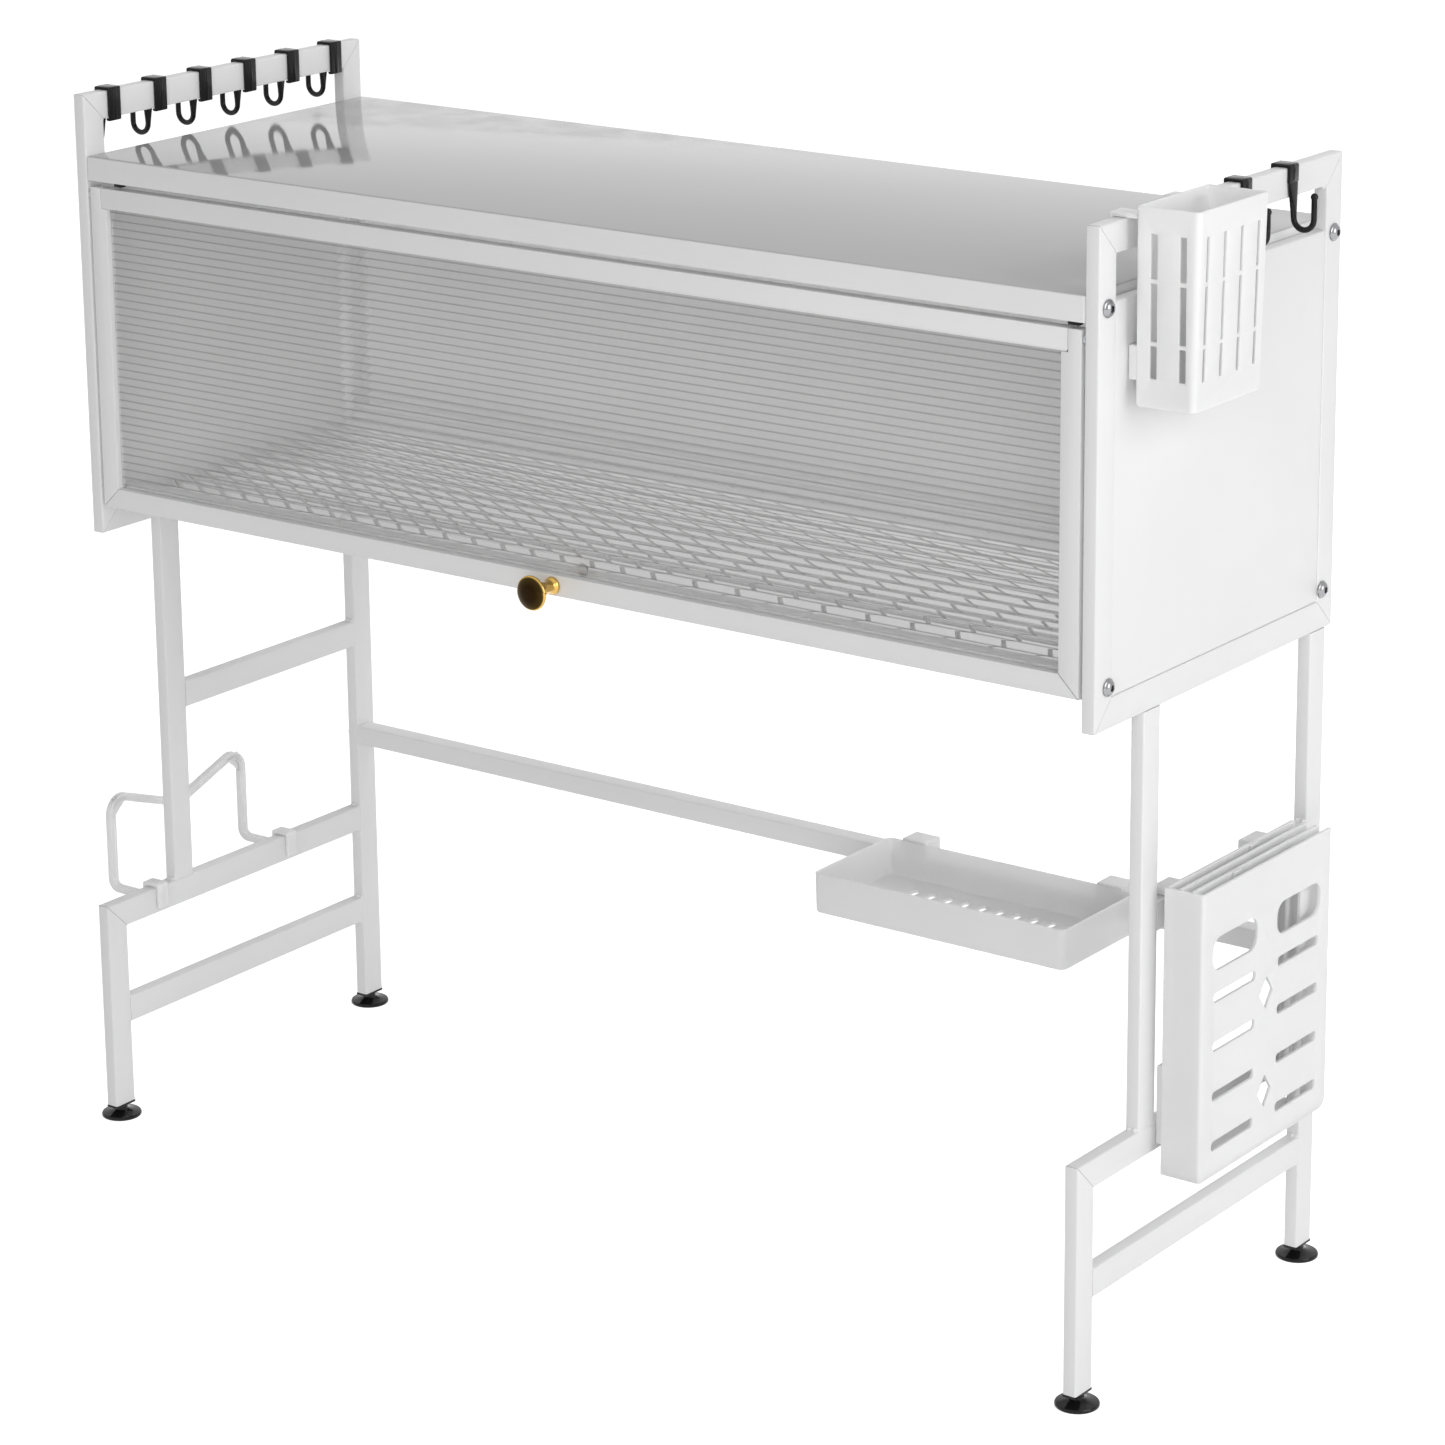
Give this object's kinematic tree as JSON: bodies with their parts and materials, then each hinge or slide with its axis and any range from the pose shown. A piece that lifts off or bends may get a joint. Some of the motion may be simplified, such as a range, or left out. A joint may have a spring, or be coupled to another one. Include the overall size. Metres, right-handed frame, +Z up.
{
  "type": "over sink dish rack",
  "caption": "White steel over-sink dish rack: tube side frames on legs, a cabinet with a flip-up fluted door and a wire shelf, clip-on hooks, caddy, board, lid and soap holders.",
  "frame": {"origin": "bottom centre of the whole rack's outline, where the levelling feet stand", "axes": "+X along the rack's length, towards its right end as seen from the front; +Y towards the back; +Z up"},
  "size_m": [0.9586, 0.329, 0.7911],
  "materials": {
    "white_steel": "satin white powder coat",
    "white_sheet": "smooth gloss white paint",
    "white_plastic": "satin moulded",
    "black_plastic": "satin moulded",
    "fluted_plastic": "translucent, with fine level flutes",
    "clear_plastic": "clear, moulded",
    "gold_brass": "polished",
    "chrome": "polished",
    "zinc_steel": "zinc plated"
  },
  "bodies": {
    "frame": {"side_frame_left": "white_steel", "side_frame_right": "white_steel", "side_panel_left": "white_steel", "side_panel_right": "white_steel", "back_panel": "white_steel", "top_plate": "white_sheet", "top_lip_front": "white_sheet", "top_lip_rear": "white_sheet", "top_lip_left": "white_sheet", "top_lip_right": "white_sheet", "shelf_rail_front": "white_steel", "shelf_rail_rear": "white_steel", "wire_shelf": "white_steel", "leg_frame_left": "white_steel", "leg_frame_right": "white_steel", "crossbar": "white_steel", "leg_connector_left_front": "zinc_steel", "leg_connector_left_rear": "zinc_steel", "leg_connector_right_front": "zinc_steel", "leg_connector_right_rear": "zinc_steel", "frame_bolt_left_top_front": "chrome", "frame_bolt_left_top_rear": "chrome", "frame_bolt_left_low_front": "chrome", "frame_bolt_left_low_rear": "chrome", "frame_bolt_right_top_front": "chrome", "frame_bolt_right_top_rear": "chrome", "frame_bolt_right_low_front": "chrome", "frame_bolt_right_low_rear": "chrome", "crossbar_bolt_left": "chrome", "crossbar_bolt_right": "chrome", "foot_plug_left_front": "black_plastic", "foot_plug_left_rear": "black_plastic", "foot_plug_right_front": "black_plastic", "foot_plug_right_rear": "black_plastic", "door_pivot_left": "zinc_steel", "door_pivot_right": "zinc_steel"},
    "door": {"door_rail_top": "white_steel", "door_rail_bottom": "white_steel", "door_stile_left": "white_steel", "door_stile_right": "white_steel", "door_panel": "fluted_plastic", "door_knob": "gold_brass", "door_knob_screw": "zinc_steel", "door_bumper": "clear_plastic"},
    "left_front_foot": {"foot_left_front": "black_plastic"},
    "left_rear_foot": {"foot_left_rear": "black_plastic"},
    "right_front_foot": {"foot_right_front": "black_plastic"},
    "right_rear_foot": {"foot_right_rear": "black_plastic"},
    "left_hook_1": {"hook_left_1": "black_plastic"},
    "left_hook_2": {"hook_left_2": "black_plastic"},
    "left_hook_3": {"hook_left_3": "black_plastic"},
    "left_hook_4": {"hook_left_4": "black_plastic"},
    "left_hook_5": {"hook_left_5": "black_plastic"},
    "left_hook_6": {"hook_left_6": "black_plastic"},
    "right_hook_1": {"hook_right_1": "black_plastic"},
    "right_hook_2": {"hook_right_2": "black_plastic"},
    "caddy": {"utensil_caddy": "white_plastic"},
    "board_rack": {"board_holder": "white_plastic"},
    "tray": {"soap_tray": "white_plastic"},
    "lid_rack": {"lid_holder": "white_plastic"}
  },
  "joints": [
    {"name": "door_hinge", "type": "hinge", "parent": "frame", "child": "door", "pos_m": [-0.00575, -0.13275, 0.71], "axis": [-1, 0, 0], "range_deg": [0, 90]},
    {"name": "left_front_foot_screw", "type": "slide", "parent": "frame", "child": "left_front_foot", "axis": [0, 0, -1], "range_m": [0, 0.008]},
    {"name": "left_rear_foot_screw", "type": "slide", "parent": "frame", "child": "left_rear_foot", "axis": [0, 0, -1], "range_m": [0, 0.008]},
    {"name": "right_front_foot_screw", "type": "slide", "parent": "frame", "child": "right_front_foot", "axis": [0, 0, -1], "range_m": [0, 0.008]},
    {"name": "right_rear_foot_screw", "type": "slide", "parent": "frame", "child": "right_rear_foot", "axis": [0, 0, -1], "range_m": [0, 0.008]},
    {"name": "left_hook_1_slide", "type": "slide", "parent": "frame", "child": "left_hook_1", "axis": [0, 1, 0], "range_m": [-0.003, 0.015]},
    {"name": "left_hook_2_slide", "type": "slide", "parent": "frame", "child": "left_hook_2", "axis": [0, 1, 0], "range_m": [-0.015, 0.015]},
    {"name": "left_hook_3_slide", "type": "slide", "parent": "frame", "child": "left_hook_3", "axis": [0, 1, 0], "range_m": [-0.015, 0.015]},
    {"name": "left_hook_4_slide", "type": "slide", "parent": "frame", "child": "left_hook_4", "axis": [0, 1, 0], "range_m": [-0.015, 0.015]},
    {"name": "left_hook_5_slide", "type": "slide", "parent": "frame", "child": "left_hook_5", "axis": [0, 1, 0], "range_m": [-0.015, 0.015]},
    {"name": "left_hook_6_slide", "type": "slide", "parent": "frame", "child": "left_hook_6", "axis": [0, 1, 0], "range_m": [-0.015, 0.003]},
    {"name": "right_hook_1_slide", "type": "slide", "parent": "frame", "child": "right_hook_1", "axis": [0, 1, 0], "range_m": [-0.015, 0.015]},
    {"name": "right_hook_2_slide", "type": "slide", "parent": "frame", "child": "right_hook_2", "axis": [0, 1, 0], "range_m": [-0.015, 0.015]},
    {"name": "caddy_lift", "type": "slide", "parent": "frame", "child": "caddy", "axis": [0, 0, 1], "range_m": [0, 0.15]},
    {"name": "board_rack_lift", "type": "slide", "parent": "frame", "child": "board_rack", "axis": [0, 0, 1], "range_m": [0, 0.1]},
    {"name": "tray_lift", "type": "slide", "parent": "frame", "child": "tray", "axis": [0, 0, 1], "range_m": [0, 0.06]},
    {"name": "lid_rack_lift", "type": "slide", "parent": "frame", "child": "lid_rack", "axis": [0, 0, 1], "range_m": [0, 0.1]}
  ]
}
